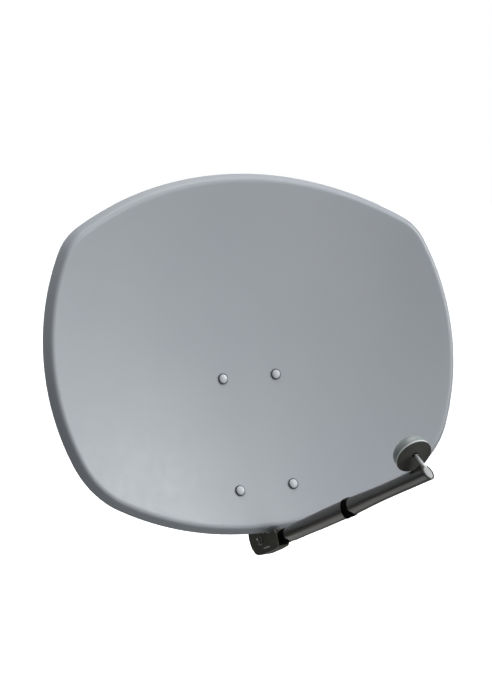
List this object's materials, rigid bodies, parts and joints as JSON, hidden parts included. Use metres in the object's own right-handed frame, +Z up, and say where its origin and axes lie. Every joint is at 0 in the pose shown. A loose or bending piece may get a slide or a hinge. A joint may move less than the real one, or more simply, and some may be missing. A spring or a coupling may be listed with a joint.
{
  "type": "satellite dish",
  "caption": "Offset satellite dish: pressed reflector on a tilting frame and toothed mast clamp, with a folding feed arm and a turnable feed head.",
  "frame": {"origin": "on the mast's axis, halfway up the mast clamp", "axes": "+Z up the mast, the reflector faces -Y, +X to the right as seen from in front of the reflector; x = 0 is the plane of symmetry"},
  "size_m": [0.8524, 0.7838, 0.7114],
  "materials": {
    "reflector_paint": "smooth satin light grey powder coat",
    "bracket_paint": "dark grey paint on pressed steel",
    "arm_paint": "dark olive grey satin paint",
    "zinc": "bright zinc plate",
    "casting": "as die cast",
    "black_plastic": "moulded, fine grain",
    "feed_dark": "moulded, dark grey",
    "feed_pale": "moulded, light grey, satin",
    "bright": "bright drawn metal",
    "board": "solder mask green",
    "seal_rubber": "soft black rubber",
    "lead_jacket": "black jacket"
  },
  "bodies": {
    "mast_bracket": {"mast_bracket": "bracket_paint", "mast_seat_lower": "casting", "mast_seat_upper": "casting", "clamp_bolt_lower_left": "zinc", "clamp_bolt_lower_right": "zinc", "clamp_bolt_upper_left": "zinc", "clamp_bolt_upper_right": "zinc", "tilt_pivot_bolt": "zinc", "tilt_lock_bolt": "zinc", "tilt_pivot_nut": "zinc", "tilt_lock_nut": "zinc"},
    "upper_clamp_jaw": {"clamp_jaw_upper": "casting", "clamp_nut_upper_left": "zinc", "clamp_nut_upper_right": "zinc"},
    "lower_clamp_jaw": {"clamp_jaw_lower": "casting", "clamp_nut_lower_left": "zinc", "clamp_nut_lower_right": "zinc"},
    "dish": {"reflector": "reflector_paint", "dish_frame": "bracket_paint", "arm_hanger": "bracket_paint", "reflector_bolt_lower_left": "zinc", "reflector_bolt_lower_right": "zinc", "reflector_bolt_upper_left": "zinc", "reflector_bolt_upper_right": "zinc", "reflector_nut_lower_left": "zinc", "reflector_nut_lower_right": "zinc", "reflector_nut_upper_left": "zinc", "reflector_nut_upper_right": "zinc"},
    "feed_arm": {"arm_shoe": "arm_paint", "arm_tube": "arm_paint", "arm_collar_rear": "black_plastic", "arm_collar_front": "black_plastic", "arm_root_plug": "black_plastic", "arm_tip_plug": "black_plastic", "arm_pivot_bolt": "zinc", "arm_pivot_nut": "zinc", "arm_stop_pin": "zinc", "cable_socket": "zinc", "cable_socket_nut": "zinc", "inner_lead": "lead_jacket", "feed_stem": "bright"},
    "feed_head": {"feed_cover": "feed_pale", "feed_back_plate": "feed_dark", "feed_seal": "seal_rubber", "feed_circuit_board": "board", "feed_horn": "casting", "feed_probe": "bright", "stem_bush": "black_plastic"}
  },
  "joints": [
    {"name": "upper_clamp_slide", "type": "slide", "parent": "mast_bracket", "child": "upper_clamp_jaw", "axis": [0, 1, 0], "range_m": [-0.017, 0.0135]},
    {"name": "lower_clamp_slide", "type": "slide", "parent": "mast_bracket", "child": "lower_clamp_jaw", "axis": [0, 1, 0], "range_m": [-0.017, 0.0135]},
    {"name": "dish_tilt", "type": "hinge", "parent": "mast_bracket", "child": "dish", "pos_m": [0, -0.088, 0], "axis": [-1, 0, 0], "range_deg": [-19.5, 20.5]},
    {"name": "arm_fold", "type": "hinge", "parent": "dish", "child": "feed_arm", "pos_m": [0, -0.19259, -0.18627], "axis": [1, 0, 0], "range_deg": [0, 80]},
    {"name": "feed_skew", "type": "hinge", "parent": "feed_arm", "child": "feed_head", "pos_m": [0, -0.67587, 0.07576], "axis": [0, -0.8796, -0.4756], "range_deg": [-60, 60]}
  ]
}
